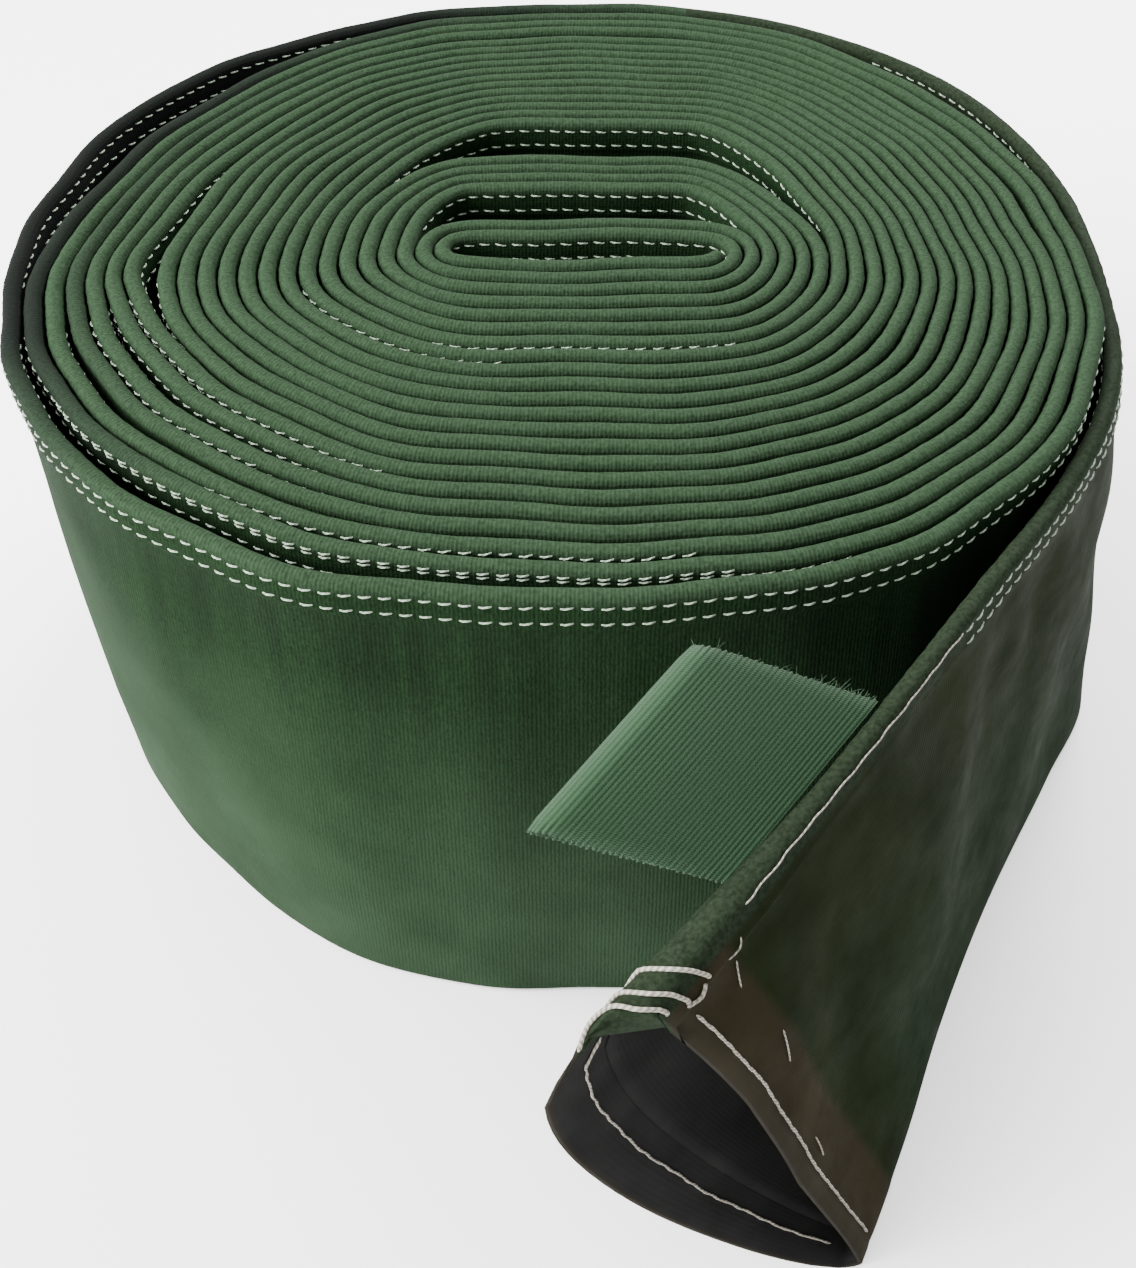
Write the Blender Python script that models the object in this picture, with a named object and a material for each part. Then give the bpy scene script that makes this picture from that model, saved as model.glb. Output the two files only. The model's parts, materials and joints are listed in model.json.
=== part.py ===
"""Coiled canvas lay-flat hose, standing on its folded edge.

One long sheet of coated canvas is folded lengthwise. The fold is the lower edge and the sewn
seam, a thick rounded ridge with two rows of lockstitch, is the upper edge. The flat hose is
wound round its hidden end, and the free end peels off the coil on the right and comes round
to the front, where it stands open. A loop of webbing is sewn into the seam near the mouth.

Metres, +Z up, ground at z = 0. The origin is the middle of the footprint.
"""
import math

import bmesh
import bpy
from mathutils import Vector

# ---------------------------------------------------------------- driving dimensions
STITCH = 0.005                  # pitch of the seam's lockstitch: coil sizes count in stitches
FLAT_WIDTH = 0.165              # lay-flat width, from the fold to the top of the seam
CANVAS = 0.0012                 # one layer of coated canvas
LINING = 0.0006                 # the waterproof layer bonded inside it
LINING_GAP = 0.0009             # and its clearance, so that the two curved faces stay apart
GAP = 0.0003                    # clearance left between touching pieces
WALL_HALF = 0.0013              # half thickness of the hose pressed flat
SEAM_HALF = 0.0022              # half thickness of the seam ridge
SEAM_TOP_HALF = 0.0013
SEAM_DEPTH = 0.005              # the ridge is thickest this far below its top
COIL_CENTRE = Vector((-0.01113, 0.04359, 0.0))
TURNS = 22.0                    # turns from the coil's heart to where the tail leaves
FIRST_TURN = 0.05               # where the hidden end lies, in turns
PEEL_TURN = TURNS - 0.14        # where the tail starts to lift off the coil
STEPS_PER_TURN = 24

# coil outline: reach of the hose from the centre, in stitches, on the hidden run and per turn
REACH_RIGHT = (8.9, 1.009)
REACH_LEFT = (7.0, 1.136)
REACH_FRONT = (1.0, 1.252)
REACH_BACK = (1.2, 1.0)
FLATNESS = 0.08                 # how thin the flattened heart is for its length

# slack between turns: turn (with its fraction), extra room, half width in degrees, and how
# fast it evens out on the turns outside it
SLACKS = (
    (2.74, 3.2, 80.0, 0.0),
    (6.78, 3.8, 85.0, 0.0),
    (15.50, 0.9, 45.0, 0.3),
    (17.38, 0.3, 40.0, 0.3),
    (18.76, 0.5, 42.0, 0.0),
    (19.38, 0.3, 40.0, 0.3),
    (19.93, 0.5, 42.0, 0.0),
    (21.34, 1.2, 50.0, 0.0),
    (21.59, 2.2, 46.0, 0.0),
    (21.74, 0.4, 45.0, 0.0),
    (21.90, 1.2, 45.0, 0.0),
)
DENT = 0.100                    # the turns are wound tighter here, by this much a turn
DENT_TURN = 0.355
DENT_HALF = 50.0
FLARE = 0.0175                  # the outer turns stand out at the foot in front
FLARE_TURN = 0.222
FLARE_HALF = 62.0
FLARE_POWER = 4.0

# the free end, in stitches from the coil's centre: seam point, then fold point on the ground
TAIL_ROWS = (
    ((31.1, 0.0, 32.5), (36.2, 0.9)),
    ((30.4, -9.6, 32.0), (37.1, -7.2)),
    ((26.4, -18.2, 31.8), (32.8, -15.0)),
    ((19.6, -27.2, 31.7), (27.2, -24.2)),
    ((13.6, -34.8, 31.0), (22.8, -32.8)),
    ((7.6, -41.2, 28.6), (19.4, -40.4)),
    ((2.0, -47.5, 26.5), (15.8, -47.7)),
)
LEAD_ROWS = 2.0                 # rows before the first, which still follow the coil
LEAD_TURN = 0.07                # length of such a row, in turns
LEAD_KICK = 0.0275              # how far the fold stands out from the seam at the first row
CURL_ROW = 3.2                  # row where the tail bends freely
OPEN_ROW = 4.4                  # row where the two layers part
MOUTH_LEFT = 0.031              # how far each layer bows out at the mouth
MOUTH_RIGHT = 0.006
MOUTH_SIDE = Vector((0.97, 0.17, 0.18)).normalized()  # the way the layers part at the mouth
HEM_ROWS = 0.2                  # width of the turned hem at the rim, in rows
HEM_EXTRA = 0.0010

MOUTH_ROW = len(TAIL_ROWS) - 1.0
TAIL_STEPS = 16
MOUTH_STEPS = 14
INSIDE_STEPS = 8
OPEN_POWER = 1.3
BOW_SKEW = 1.1
BOW_POWER = 0.45
CREASE = 0.0001                 # half of the hollow where the layers only just part
WALL_SPANS = (0.0, 0.08, 0.2, 0.35, 0.5, 0.65, 0.8, 0.91, 0.97, 1.0)
LOW = 0.012                     # the hollow starts and stops short of the fold and the seam
HIGH = 0.945
LINING_ROW = 5.1                # the lining shows from here on

BEND_TIP = 0.12                 # a piece narrows to this share of its thickness at a bend line
BEND_TAPER = 0.0036             # over this length
BEND_GAP = 0.0003               # and stops this far from it

THREAD_RADIUS = 0.00035
THREAD_TURN = 21.10             # the seam rows are made from here on, where the turn shows
SEAM_PROUD = 0.0002
THREAD_DROPS = (0.0035, 0.0085)  # the two seam rows, below the top of the ridge

WEB_SEWN = 0.056                # length of the edge that is sewn in: 50 mm webbing, askew
WEB_LENGTH = 0.047
WEB_OUT = Vector((-0.937, 0.065, 0.345)).normalized()  # the loop is sewn in askew
WEB_THICK = 0.0013
WEB_BASE = 0.0029               # both layers, where they leave the seam
WEB_DEPTH = 0.0025
WEB_OPEN = 0.0075               # clear height inside the loop near its free end
WEB_ROWS = (3.87, 4.95)         # where the webbing is sewn in, in tail rows

CANVAS_GREEN = (0.060, 0.145, 0.075, 1.0)
TAIL_GREEN = (0.040, 0.060, 0.030, 1.0)
LINING_BLACK = (0.018, 0.016, 0.016, 1.0)
THREAD_WHITE = (0.62, 0.72, 0.58, 1.0)
THREAD_BEIGE = (0.50, 0.47, 0.42, 1.0)
WEBBING_GREEN = (0.075, 0.200, 0.095, 1.0)


# ---------------------------------------------------------------- the hose's route
def window(offset, half_width):
    """A smooth bump: 1 at no offset, 0 beyond the half width."""
    if abs(offset) >= half_width:
        return 0.0
    return 0.5 + 0.5 * math.cos(math.pi * offset / half_width)


def support(turn):
    """Distance from the coil's centre to the hose's tangent line, in stitches."""
    angle = 2.0 * math.pi * turn
    reach = [base + rate * turn for base, rate in (REACH_RIGHT, REACH_LEFT, REACH_FRONT, REACH_BACK)]
    half_x = 0.5 * (reach[0] + reach[1])
    half_y = 0.5 * (reach[2] + reach[3])
    long_axis = (half_x - half_y) / (1.0 - FLATNESS)
    offset = half_x - long_axis
    oval = math.hypot(long_axis * math.cos(angle), FLATNESS * long_axis * math.sin(angle))
    shift = 0.5 * (reach[0] - reach[1]) * math.cos(angle)
    shift += 0.5 * (reach[2] - reach[3]) * math.sin(angle)
    room = 0.0
    for start, extra, half_width, easing in SLACKS:
        laps = max(0, round(turn - start))
        wider = 1.0 + easing * laps
        offset_angle = 2.0 * math.pi * (turn - start - laps)
        if turn > start - 0.5:
            room += extra * window(offset_angle, math.radians(half_width) * wider) / math.sqrt(wider)
    place = 2.0 * math.pi * (turn - DENT_TURN - round(turn - DENT_TURN))
    dent = DENT * turn * window(place, math.radians(DENT_HALF))
    return oval + offset + shift + room - dent


def coil_point(turn):
    """Ground point of the hose's centre line and the outward normal there."""
    step = 1e-4
    slope = (support(turn + step) - support(turn - step)) / (4.0 * math.pi * step)
    angle = 2.0 * math.pi * turn
    normal = Vector((math.cos(angle), -math.sin(angle), 0.0))
    along = Vector((-math.sin(angle), -math.cos(angle), 0.0))
    place = (normal * support(turn) + along * slope) * STITCH
    return COIL_CENTRE + place, normal


def coil_row(turn):
    """Seam point, fold point and outward normal of the hose at a turn of the coil."""
    ground, normal = coil_point(turn)
    offset = 2.0 * math.pi * (turn - FLARE_TURN - round(turn - FLARE_TURN))
    foot = FLARE * (turn / TURNS) ** FLARE_POWER * window(offset, math.radians(FLARE_HALF))
    top = Vector((0.0, 0.0, math.sqrt(FLAT_WIDTH ** 2 - foot ** 2)))
    return ground + top, ground + normal * foot, normal


def spline(points, place):
    """Catmull-Rom value through evenly numbered points."""
    last = len(points) - 1
    index = min(int(place), last - 1)
    t = place - index
    before = points[max(index - 1, 0)]
    after = points[min(index + 2, last)]
    start = points[index]
    end = points[index + 1]
    return 0.5 * (
        2.0 * start
        + (end - before) * t
        + (2.0 * before - 5.0 * start + 4.0 * end - after) * t * t
        + (3.0 * start - before - 3.0 * end + after) * t ** 3
    )


def tail_lead(row):
    """Seam and fold points where the free end still follows the coil and starts to lean."""
    fold, normal = coil_point(TURNS + row * LEAD_TURN)
    kick = LEAD_KICK * max(0.0, 1.0 + row / LEAD_ROWS) ** 2
    seam = fold + Vector((0.0, 0.0, math.sqrt(FLAT_WIDTH ** 2 - kick ** 2)))
    return seam, fold + normal * kick


def tail_controls():
    """Seam and fold points of the free end, from just before it leaves the coil to the mouth."""
    pairs = [tail_lead(-1.0)]
    for seam, fold in TAIL_ROWS:
        ground = Vector((fold[0], fold[1], 0.0))
        pairs.append((COIL_CENTRE + Vector(seam) * STITCH, COIL_CENTRE + ground * STITCH))
    return [seam for seam, fold in pairs], [fold for seam, fold in pairs]


SEAMS, FOLDS = tail_controls()


def tail_line(row):
    """Seam point and fold point at a row of the free end."""
    if row < 0.0:
        return tail_lead(row)
    return spline(SEAMS, row + 1.0), spline(FOLDS, row + 1.0)


def tail_row(row):
    """Seam point, fold point and outward normal at a row of the free end."""
    seam, fold = tail_line(row)
    ahead = tail_line(min(row + 0.02, MOUTH_ROW))
    behind = tail_line(max(row - 0.02, -LEAD_ROWS))
    along = ahead[0] + ahead[1] - behind[0] - behind[1]
    normal = (seam - fold).cross(along).normalized()
    return seam, fold, normal


def spread(start, end, count):
    """Evenly spaced values, both ends included."""
    return [start + (end - start) * step / count for step in range(count + 1)]


# ---------------------------------------------------------------- building helpers
def material(name, colour, roughness):
    mat = bpy.data.materials.new(name)
    mat.use_nodes = True
    shader = mat.node_tree.nodes["Principled BSDF"]
    shader.inputs["Base Color"].default_value = colour
    shader.inputs["Roughness"].default_value = roughness
    shader.inputs["Metallic"].default_value = 0.0
    mat.diffuse_color = colour
    return mat


def add_object(name, data, mat, parent=None):
    obj = bpy.data.objects.new(name, data)
    data.materials.append(mat)
    PARTS.objects.link(obj)
    if parent is not None:
        obj.parent = parent
        obj.matrix_parent_inverse = parent.matrix_world.inverted()
    return obj


def loft(name, rings, mat, parent=None, ends="capped"):
    """A closed body through rings of points, capped or joined end to end."""
    mesh = bpy.data.meshes.new(name)
    shape = bmesh.new()
    loops = [[shape.verts.new(point) for point in ring] for ring in rings]
    pairs = list(zip(loops, loops[1:]))
    if ends == "joined":
        pairs.append((loops[-1], loops[0]))
    else:
        shape.faces.new(loops[0])
        shape.faces.new(loops[-1])
    for first, second in pairs:
        for spot in range(len(first)):
            shape.faces.new((first[spot - 1], first[spot], second[spot], second[spot - 1]))
    bmesh.ops.recalc_face_normals(shape, faces=shape.faces)
    if shape.calc_volume(signed=True) < 0.0:
        bmesh.ops.reverse_faces(shape, faces=shape.faces)
    shape.to_mesh(mesh)
    shape.free()
    mesh.shade_smooth()
    mesh.set_sharp_from_angle(angle=math.radians(40.0))
    return add_object(name, mesh, mat, parent)


def tube(name, points, radius, mat, parent=None, cyclic=False):
    """A thread: a poly curve with a round bevel and filled caps."""
    curve = bpy.data.curves.new(name, "CURVE")
    curve.dimensions = "3D"
    curve.bevel_depth = radius
    curve.bevel_resolution = 1
    curve.use_fill_caps = True
    line = curve.splines.new("POLY")
    line.points.add(len(points) - 1)
    for knot, point in zip(line.points, points):
        knot.co = (*point, 1.0)
    line.use_cyclic_u = cyclic
    return add_object(name, curve, mat, parent)


def pivot(name, place):
    empty = bpy.data.objects.new(name, None)
    empty.empty_display_size = 0.02
    empty.location = place
    PARTS.objects.link(empty)
    bpy.context.view_layer.update()
    return empty


# ---------------------------------------------------------------- the flat hose
def half_at(depth):
    """Half thickness of the pressed hose at a depth below the top of its seam."""
    if depth < SEAM_DEPTH:
        return SEAM_TOP_HALF + (SEAM_HALF - SEAM_TOP_HALF) * depth / SEAM_DEPTH
    fade = (depth - SEAM_DEPTH) / (FLAT_WIDTH - SEAM_DEPTH)
    return SEAM_HALF + (WALL_HALF - SEAM_HALF) * fade


def grounded(point):
    """The point, lifted to the ground if it would lie below it."""
    return Vector((point.x, point.y, max(point.z, 0.0)))


def flat_ring(row, thin=1.0, slide=0.0):
    """Section of the pressed hose: thin wall below, seam ridge above."""
    seam, fold, normal = row
    up = (seam - fold).normalized()
    shift = along_of(row) * slide
    levels = ((fold, WALL_HALF), (seam - up * SEAM_DEPTH, SEAM_HALF), (seam, SEAM_TOP_HALF))
    right = [point + normal * half * thin + shift for point, half in levels]
    left = [point - normal * half * thin + shift for point, half in levels]
    return [grounded(point) for point in right + list(reversed(left))]


def along_of(row):
    """Unit vector along the hose, towards the mouth."""
    seam, fold, normal = row
    return normal.cross((seam - fold).normalized())


def coil_turns():
    """The wound run's stations: the same angles on every turn, so that the turns nest."""
    first = math.ceil(FIRST_TURN * STEPS_PER_TURN)
    last = math.floor(PEEL_TURN * STEPS_PER_TURN - 0.3)
    return [number / STEPS_PER_TURN for number in range(first, last + 1)]


def build_coil(mat):
    """The wound run, from the hidden end to the peel line."""
    rings = [flat_ring(coil_row(turn)) for turn in coil_turns()]
    last = coil_row(PEEL_TURN)
    rings.append(flat_ring(last, 1.0, -BEND_TAPER))
    rings.append(flat_ring(last, BEND_TIP, -BEND_GAP))
    return loft("hose_coil", rings, mat)


def build_tail(mat, parent):
    """The free run between the peel line and the curl line."""
    rows = spread(-LEAD_ROWS, CURL_ROW, TAIL_STEPS)
    first = tail_row(rows[0])
    last = tail_row(rows[-1])
    rings = [flat_ring(first, BEND_TIP, BEND_GAP), flat_ring(first, 1.0, BEND_TAPER)]
    rings += [flat_ring(tail_row(row)) for row in rows[1:-1]]
    rings += [flat_ring(last, 1.0, -BEND_TAPER), flat_ring(last, BEND_TIP, -BEND_GAP)]
    return loft("hose_tail", rings, mat, parent)


# ---------------------------------------------------------------- the open end
def opening(row):
    """How far open the hose is: 0 where pressed flat, 1 at the rim."""
    return (max(0.0, row - OPEN_ROW) / (MOUTH_ROW - OPEN_ROW)) ** OPEN_POWER


def bow(height):
    """How a layer bows between the fold and the seam: most of it nearer the seam."""
    return math.sin(math.pi * height ** BOW_SKEW) ** BOW_POWER


def wall_point(row, level, span, sign, inset):
    """A point of one layer of the open end, a given depth below its outer surface."""
    seam, fold, normal = tail_row(row)
    amount = MOUTH_RIGHT if sign > 0 else MOUTH_LEFT
    half = half_at((1.0 - level) * FLAT_WIDTH)
    if inset <= 0.0 and row > MOUTH_ROW - HEM_ROWS and level > 0.0:
        half += HEM_EXTRA
    out = max(amount * opening(row) * bow(span) + half - inset, CREASE)
    side = normal.lerp(MOUTH_SIDE, opening(row)).normalized()
    return grounded(fold + (seam - fold) * level + side * sign * out)


def mouth_ring(row, inset, spans=WALL_SPANS, low=0.0, high=1.0):
    """Ring round the open end, from the fold up one layer and down the other."""
    right = []
    left = []
    for span in spans:
        level = low + (high - low) * span
        right.append(wall_point(row, level, level, 1.0, inset))
        left.append(wall_point(row, level, level, -1.0, inset))
    return right + list(reversed(left))


def squeezed(ring, row, thin, slide):
    """A ring pressed towards the hose's middle plane and slid along the hose."""
    seam, fold, normal = row
    moved = []
    for point in ring:
        depth = (point - fold).dot(normal)
        moved.append(grounded(point - normal * depth * (1.0 - thin) + along_of(row) * slide))
    return moved


def build_mouth(mat, parent):
    """The last run of hose: pressed flat at the curl line, a pocket open at the rim."""
    first = tail_row(CURL_ROW)
    flat = mouth_ring(CURL_ROW, 0.0)
    rings = [squeezed(flat, first, BEND_TIP, BEND_GAP), squeezed(flat, first, 1.0, BEND_TAPER)]
    rings += [mouth_ring(row, 0.0) for row in spread(CURL_ROW, MOUTH_ROW, MOUTH_STEPS)[1:]]
    inside = spread(OPEN_ROW, MOUTH_ROW, INSIDE_STEPS)
    rings += [mouth_ring(row, CANVAS, WALL_SPANS, LOW, HIGH) for row in reversed(inside)]
    return loft("hose_mouth", rings, mat, parent)


def build_lining(mat, parent):
    """The dark waterproof layer inside the open end."""
    rows = [row for row in spread(OPEN_ROW, MOUTH_ROW, INSIDE_STEPS) if row > LINING_ROW]
    spans = WALL_SPANS[1:-1]
    outer = CANVAS + LINING_GAP
    inner = outer + LINING
    rings = [mouth_ring(row, outer, spans, LOW, HIGH) for row in rows]
    rings += [mouth_ring(row, inner, spans, LOW, HIGH) for row in reversed(rows)]
    return loft("mouth_lining", rings, mat, parent, "joined")


# ---------------------------------------------------------------- thread
def seam_thread(row, drop):
    """A point of a seam row on the outer face of the pressed hose."""
    seam, fold, normal = row
    up = (seam - fold).normalized()
    return seam - up * drop + normal * (half_at(drop) + GAP + THREAD_RADIUS)


def build_seam_threads(mat, tail_parent, mouth_parent):
    """The two rows of the seam on the last turn, on the tail and beside the mouth."""
    turns = [turn for turn in coil_turns() if turn > THREAD_TURN][:-1]
    tail_rows = spread(-LEAD_ROWS, CURL_ROW, TAIL_STEPS)[1:-1]
    mouth_rows = spread(CURL_ROW, MOUTH_ROW, MOUTH_STEPS)[1:-1]
    for label, drop in zip(("upper", "lower"), THREAD_DROPS):
        points = [seam_thread(coil_row(turn), drop) for turn in turns]
        tube(f"seam_thread_{label}_coil", points, THREAD_RADIUS, mat)
        points = [seam_thread(tail_row(row), drop) for row in tail_rows]
        tube(f"seam_thread_{label}_tail", points, THREAD_RADIUS, mat, tail_parent)
        level = 1.0 - drop / FLAT_WIDTH
        lift = -(GAP + THREAD_RADIUS + SEAM_PROUD)
        points = [wall_point(row, level, level, 1.0, lift) for row in mouth_rows]
        tube(f"seam_thread_{label}_mouth", points, THREAD_RADIUS, mat, mouth_parent)


def build_hem_threads(mat, parent):
    """The row that holds the turned hem, up each layer of the mouth."""
    row = MOUTH_ROW - HEM_ROWS + 0.04
    for label, sign in (("right", 1.0), ("left", -1.0)):
        lift = -(GAP + THREAD_RADIUS + SEAM_PROUD)
        points = [wall_point(row, level, level, sign, lift) for level in spread(0.05, 0.93, 14)]
        tube(f"hem_thread_{label}", points, THREAD_RADIUS, mat, parent)


def build_bar_tack(mat, parent):
    """A short zigzag of thread over the end of the seam."""
    points = []
    for number, row in enumerate(spread(MOUTH_ROW - 0.34, MOUTH_ROW - 0.06, 8)):
        seam, fold, normal = tail_row(row)
        up = (seam - fold).normalized()
        side = 0.0012 if number % 2 else -0.0012
        points.append(seam + up * (GAP + 2.0 * THREAD_RADIUS) + normal * side)
    tube("bar_tack", points, THREAD_RADIUS, mat, parent)


# ---------------------------------------------------------------- webbing loop
def loop_frame():
    """Middle of the sewn edge, and unit vectors along it, out of the seam and across."""
    ends = []
    for row in WEB_ROWS:
        seam, fold, normal = tail_row(row)
        up = (seam - fold).normalized()
        ends.append(seam - up * WEB_DEPTH - normal * (SEAM_HALF + 2.0 * GAP + 0.5 * WEB_BASE))
    along = (ends[1] - ends[0]).normalized()
    across = along.cross(WEB_OUT).normalized()
    return 0.5 * (ends[0] + ends[1]), along, WEB_OUT, across


def loop_profile():
    """Centre line of the folded webbing: out along one layer, round the fold and back."""
    turn_radius = 0.5 * (WEB_OPEN + WEB_THICK)
    base = 0.5 * (WEB_BASE - WEB_THICK)
    straight = WEB_LENGTH - turn_radius - 0.5 * WEB_THICK
    side = []
    for share in spread(0.0, 1.0, 6):
        ease = share * share * (3.0 - 2.0 * share)
        side.append((straight * share, base + (turn_radius - base) * ease))
    fold = []
    for angle in spread(0.5 * math.pi, -0.5 * math.pi, 8)[1:-1]:
        fold.append((straight + turn_radius * math.cos(angle), turn_radius * math.sin(angle)))
    return side + fold + [(reach, -rise) for reach, rise in reversed(side)]


def build_webbing(mat, parent):
    """A short length of ribbed webbing folded double, open on both sides."""
    middle, along, out, across = loop_frame()
    path = loop_profile()
    rings = []
    for spot, (reach, rise) in enumerate(path):
        before = path[max(spot - 1, 0)]
        after = path[min(spot + 1, len(path) - 1)]
        run = Vector((after[0] - before[0], after[1] - before[1])).normalized()
        centre = middle + out * reach + across * rise
        thick = (across * run.x - out * run.y) * 0.5 * WEB_THICK
        half = along * 0.5 * WEB_SEWN
        rings.append([centre + half + thick, centre + half - thick, centre - half - thick, centre - half + thick])
    return loft("webbing_loop", rings, mat, parent)


def build_loop_thread(mat, parent):
    """The stitching along the top of the seam where the webbing is sewn in."""
    points = []
    for row in spread(WEB_ROWS[0] + 0.05, WEB_ROWS[1] - 0.05, 8):
        seam, fold, normal = tail_row(row)
        up = (seam - fold).normalized()
        points.append(seam + up * (GAP + THREAD_RADIUS))
    tube("loop_thread", points, THREAD_RADIUS, mat, parent)


# ---------------------------------------------------------------- the object
def build():
    canvas = material("canvas_green", CANVAS_GREEN, 0.85)
    tail_canvas = material("tail_canvas", TAIL_GREEN, 0.6)
    lining = material("lining_black", LINING_BLACK, 0.55)
    white = material("thread_white", THREAD_WHITE, 0.7)
    beige = material("thread_beige", THREAD_BEIGE, 0.7)
    webbing = material("webbing_green", WEBBING_GREEN, 0.75)

    peel = pivot("tail_peel_pivot", coil_point(PEEL_TURN)[0])
    curl = pivot("tail_curl_pivot", tail_row(CURL_ROW)[1])
    flap = pivot("loop_flap_pivot", loop_frame()[0])

    build_coil(canvas)
    build_tail(tail_canvas, peel)
    build_mouth(tail_canvas, curl)
    build_lining(lining, curl)
    build_seam_threads(white, peel, curl)
    build_hem_threads(beige, curl)
    build_bar_tack(beige, curl)
    build_webbing(webbing, flap)
    build_loop_thread(white, curl)


def clear_scene():
    for obj in list(bpy.data.objects):
        bpy.data.objects.remove(obj, do_unlink=True)


clear_scene()
PARTS = bpy.data.collections.new("canvas_hose")
bpy.context.scene.collection.children.link(PARTS)
build()
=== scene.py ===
"""Looks of the coiled canvas lay-flat hose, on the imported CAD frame.

The hose is one long flat strip. Its route (seam edge, fold edge and outward normal along the
length) is worked out once, and every visible piece, from the wound turns to the last stitch,
is placed on that route by its distance along the hose and its depth below the seam.
"""

import json
import math

import bmesh
import bpy
import numpy as np
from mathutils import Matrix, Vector


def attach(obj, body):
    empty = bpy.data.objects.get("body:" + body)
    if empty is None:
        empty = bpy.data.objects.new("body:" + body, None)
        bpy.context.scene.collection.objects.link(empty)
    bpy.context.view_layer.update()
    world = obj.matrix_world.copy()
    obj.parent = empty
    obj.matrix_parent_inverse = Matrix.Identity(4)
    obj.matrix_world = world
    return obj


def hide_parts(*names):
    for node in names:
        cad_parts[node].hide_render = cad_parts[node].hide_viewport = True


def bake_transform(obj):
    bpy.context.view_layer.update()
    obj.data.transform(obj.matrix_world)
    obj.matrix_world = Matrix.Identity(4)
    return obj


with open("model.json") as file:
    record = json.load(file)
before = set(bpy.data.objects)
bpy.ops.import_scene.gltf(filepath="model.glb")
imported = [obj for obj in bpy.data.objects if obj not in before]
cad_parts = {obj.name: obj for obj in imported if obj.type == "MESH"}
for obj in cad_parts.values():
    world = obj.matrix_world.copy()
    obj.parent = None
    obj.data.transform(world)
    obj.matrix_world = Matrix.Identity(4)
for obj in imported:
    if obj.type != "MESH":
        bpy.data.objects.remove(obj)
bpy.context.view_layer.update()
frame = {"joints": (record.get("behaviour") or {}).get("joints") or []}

# ---------------------------------------------------------------- dimensions shared with the CAD
STITCH = 0.005                  # the seam's stitch: coil sizes count in it
FLAT_WIDTH = 0.165              # from the fold to the top of the seam
CANVAS = 0.0012                 # one layer of canvas
COIL_CENTRE = np.array((-0.01113, 0.04359, 0.0))
TURNS = 22.0
FIRST_TURN = 0.05
PEEL_TURN = TURNS - 0.14        # where the free end starts to lift off the coil
# coil outline: reach from the centre, in stitches, at the start and per turn
REACH_RIGHT = (8.9, 1.009)
REACH_LEFT = (7.0, 1.136)
REACH_FRONT = (1.0, 1.252)
REACH_BACK = (1.2, 1.0)
FLATNESS = 0.08                 # how thin the flattened heart is for its length
# slack: turn, extra room, half width in degrees, how fast it evens out on later turns
SLACKS = (
    (2.74, 3.2, 80.0, 0.0),
    (6.78, 3.8, 85.0, 0.0),
    (15.50, 0.9, 45.0, 0.3),
    (17.38, 0.3, 40.0, 0.3),
    (18.76, 0.5, 42.0, 0.0),
    (19.38, 0.3, 40.0, 0.3),
    (19.93, 0.5, 42.0, 0.0),
    (21.34, 1.2, 50.0, 0.0),
    (21.59, 2.2, 46.0, 0.0),
    (21.74, 0.4, 45.0, 0.0),
    (21.90, 1.2, 45.0, 0.0),
)
DENT = 0.100                    # the turns are wound tighter here, by this much a turn
DENT_TURN = 0.355
DENT_HALF = 50.0
FLARE = 0.0175                  # the outer turns stand out at the foot in front
FLARE_TURN = 0.222
FLARE_HALF = 62.0
FLARE_POWER = 4.0
# the free end, in stitches from the coil's centre: seam point, then fold point
TAIL_ROWS = (
    ((31.1, 0.0, 32.5), (36.2, 0.9)),
    ((30.4, -9.6, 32.0), (37.1, -7.2)),
    ((26.4, -18.2, 31.8), (32.8, -15.0)),
    ((19.6, -27.2, 31.7), (27.2, -24.2)),
    ((13.6, -34.8, 31.0), (22.8, -32.8)),
    ((7.6, -41.2, 28.6), (19.4, -40.4)),
    ((2.0, -47.5, 26.5), (15.8, -47.7)),
)
LEAD_ROWS = 2.0                 # rows before the first, which still follow the coil
LEAD_TURN = 0.07
LEAD_KICK = 0.0275
CURL_ROW = 3.2                  # row where the end bends freely
OPEN_ROW = 4.4                  # row where the two layers part
MOUTH_ROW = 6.0
MOUTH_LEFT = 0.031              # how far each layer bows out at the mouth
MOUTH_RIGHT = 0.006
MOUTH_SIDE = np.array((0.97, 0.17, 0.18))
MOUTH_SIDE /= np.linalg.norm(MOUTH_SIDE)
OPEN_POWER = 1.3
BOW_SKEW = 1.35
BOW_POWER = 0.45
RIM_BACK = 0.009                # how far the seam's end is set back from the inner layer's rim
RIM_OUTER = 0.006               # and the outer layer's rim beside it
WEB_SEWN = 0.056
WEB_LENGTH = 0.047
WEB_OUT = Vector((-0.937, 0.065, 0.345)).normalized()
WEB_THICK = 0.0013
WEB_BASE = 0.0029
WEB_DEPTH = 0.0025
WEB_OPEN = 0.0075
WEB_ROWS = (3.87, 4.95)

# looks only
CELL = 0.5 * STITCH             # spacing of the strip's stations, two to a stitch
RIDGE_DEPTH = 0.0105            # the turned-in seam allowance makes a ridge this deep
RIDGE_RANGE = (0.0022, 0.00275)  # half thickness of the ridge: pressed by its neighbours, and free
RIDGE_STEPS = (0.0032, 0.0045, 0.0057, 0.0070, 0.0082, 0.0094, 0.0106, 0.0118)  # points down the ridge
RIDGE_GAP = 0.00012             # kept free between the ridges of two turns
CAP_DEPTH = 0.0026              # the seam's rounded top
FOLD_ROUND = 0.0015             # the rounded fold at the ground
FREE_ROOM = 0.02                # the room where no turn lies alongside
WALL_HALF = 0.0013
DROPS = (0.0032, 0.0082)        # the two rows of lockstitch, below the top of the seam
STITCH_SLANT = 0.00025          # a stitch leans by this much
CUT_TURN = 21.78                # strip pieces meet here
CUT_ROW = 1.0                   # and here
EDGE_STEP = 0.0001              # a ring this close to a cut gives both pieces the same shading there
HEM = 0.0075                    # the hem's row of stitches, from the rim
HEM_FOLD = 0.026                # the turned-in hem is this wide
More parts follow.
